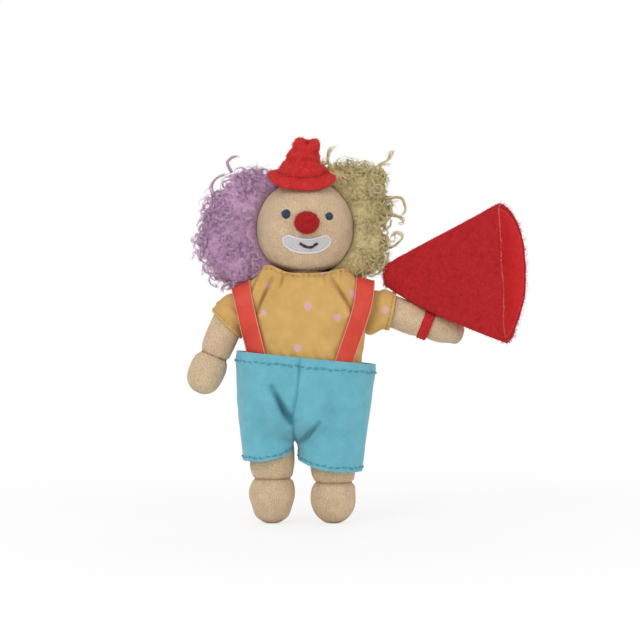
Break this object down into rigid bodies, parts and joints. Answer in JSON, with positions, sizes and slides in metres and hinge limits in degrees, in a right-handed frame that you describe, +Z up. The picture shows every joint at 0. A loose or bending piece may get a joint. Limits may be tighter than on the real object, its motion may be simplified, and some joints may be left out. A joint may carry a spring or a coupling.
{
  "type": "clown doll",
  "caption": "Small stuffed knit clown doll with felt hat, curly two-colour wig, shirt, shorts, suspenders and a felt megaphone on its wrist.",
  "frame": {"origin": "middle of the doll's outline, at the level that its feet stand on", "axes": "+Z up, the doll faces -Y, its own left side with the megaphone lies towards +X"},
  "size_m": [0.1222, 0.0478, 0.1401],
  "materials": {
    "knit": "fine ribbed cotton jersey, beige",
    "stuffing": "fibre filling, off-white",
    "shirt_cotton": "woven cotton, mustard with small pink dots",
    "shorts_cotton": "brushed cotton, turquoise, with topstitching",
    "ribbon": "smooth coated ribbon, orange-red",
    "thread": "sewing thread, beige",
    "red_felt": "wool felt, red",
    "lining_felt": "thin felt lining, brighter red",
    "elastic": "ribbed flat elastic, red",
    "lilac_curls": "curly yarn, lilac",
    "straw_curls": "curly yarn, straw green",
    "nose_felt": "felt pompom, dark red",
    "eye_thread": "satin stitch embroidery, dark blue",
    "mouth_white": "white satin stitch patch",
    "smile_thread": "embroidered line, dark brown"
  },
  "bodies": {
    "torso": {"torso_skin": "knit", "torso_stuffing": "stuffing", "shirt_body": "shirt_cotton", "right_suspender": "ribbon", "left_suspender": "ribbon", "shorts_right_half": "shorts_cotton", "shorts_left_half": "shorts_cotton"},
    "neck": {"neck_plug": "stuffing"},
    "head": {"head_skin": "knit", "head_stuffing": "stuffing", "right_eye": "eye_thread", "left_eye": "eye_thread", "mouth_patch": "mouth_white", "smile": "smile_thread", "nose": "nose_felt", "right_hair": "lilac_curls", "left_hair": "straw_curls", "hat_brim": "red_felt", "hat_crown": "red_felt"},
    "right_shoulder": {"right_arm_knot": "thread"},
    "right_arm": {"right_arm_skin": "knit", "right_arm_stuffing": "stuffing", "right_elbow_tie": "thread", "right_sleeve": "shirt_cotton"},
    "right_hand": {"right_hand_skin": "knit", "right_hand_stuffing": "stuffing"},
    "left_shoulder": {"left_arm_knot": "thread"},
    "left_arm": {"left_arm_skin": "knit", "left_arm_stuffing": "stuffing", "left_elbow_tie": "thread", "left_sleeve": "shirt_cotton"},
    "left_hand": {"left_hand_skin": "knit", "left_hand_stuffing": "stuffing"},
    "right_leg": {"right_leg_skin": "knit", "right_leg_stuffing": "stuffing", "right_ankle_tie": "thread"},
    "right_foot": {"right_foot_skin": "knit", "right_foot_stuffing": "stuffing"},
    "left_leg": {"left_leg_skin": "knit", "left_leg_stuffing": "stuffing", "left_ankle_tie": "thread"},
    "left_foot": {"left_foot_skin": "knit", "left_foot_stuffing": "stuffing"},
    "megaphone": {"megaphone_felt": "red_felt", "megaphone_lining": "lining_felt", "megaphone_elastic": "elastic"}
  },
  "joints": [
    {"name": "head_turn", "type": "hinge", "parent": "torso", "child": "neck", "pos_m": [-0.0176, 0.0001, 0.093], "axis": [0, 0, 1], "range_deg": [-45, 45]},
    {"name": "head_nod", "type": "hinge", "parent": "neck", "child": "head", "pos_m": [-0.0176, 0.0001, 0.093], "axis": [1, 0, 0], "range_deg": [-10, 10], "deforming": ["right_hair", "left_hair"]},
    {"name": "right_arm_raise", "type": "hinge", "parent": "torso", "child": "right_shoulder", "pos_m": [-0.0436, 0.0001, 0.0775], "axis": [0, 1, 0], "range_deg": [-5, 110]},
    {"name": "right_arm_swing", "type": "hinge", "parent": "right_shoulder", "child": "right_arm", "pos_m": [-0.0436, 0.0001, 0.0775], "axis": [-0.9205, 0, 0.3907], "range_deg": [-30, 45]},
    {"name": "right_elbow", "type": "hinge", "parent": "right_arm", "child": "right_hand", "pos_m": [-0.05064, 0.0001, 0.06093], "axis": [-0.9205, 0, 0.3907], "range_deg": [-35, 35]},
    {"name": "left_arm_raise", "type": "hinge", "parent": "torso", "child": "left_shoulder", "pos_m": [0.0089, 0.0001, 0.0786], "axis": [0, -1, 0], "range_deg": [-45, 25]},
    {"name": "left_arm_swing", "type": "hinge", "parent": "left_shoulder", "child": "left_arm", "pos_m": [0.0089, 0.0001, 0.0786], "axis": [-0.3502, 0, -0.9367], "range_deg": [-30, 45]},
    {"name": "left_elbow", "type": "hinge", "parent": "left_arm", "child": "left_hand", "pos_m": [0.02576, 0.0001, 0.0723], "axis": [-0.3502, 0, -0.9367], "range_deg": [-35, 35], "deforming": ["megaphone_elastic"]},
    {"name": "right_hip", "type": "hinge", "parent": "torso", "child": "right_leg", "pos_m": [-0.0296, 0.0001, 0.038], "axis": [-1, 0, 0], "range_deg": [-25, 90], "deforming": ["shorts_right_half"]},
    {"name": "right_ankle", "type": "hinge", "parent": "right_leg", "child": "right_foot", "pos_m": [-0.0296, 0.0001, 0.0163], "axis": [-1, 0, 0], "range_deg": [-35, 35]},
    {"name": "left_hip", "type": "hinge", "parent": "torso", "child": "left_leg", "pos_m": [-0.0074, 0.0001, 0.038], "axis": [-1, 0, 0], "range_deg": [-25, 90], "deforming": ["shorts_left_half"]},
    {"name": "left_ankle", "type": "hinge", "parent": "left_leg", "child": "left_foot", "pos_m": [-0.0074, 0.0001, 0.0149], "axis": [-1, 0, 0], "range_deg": [-35, 35]},
    {"name": "megaphone_slip", "type": "slide", "parent": "left_arm", "child": "megaphone", "axis": [0.9367, 0, -0.3502], "range_m": [0, 0.024]}
  ]
}
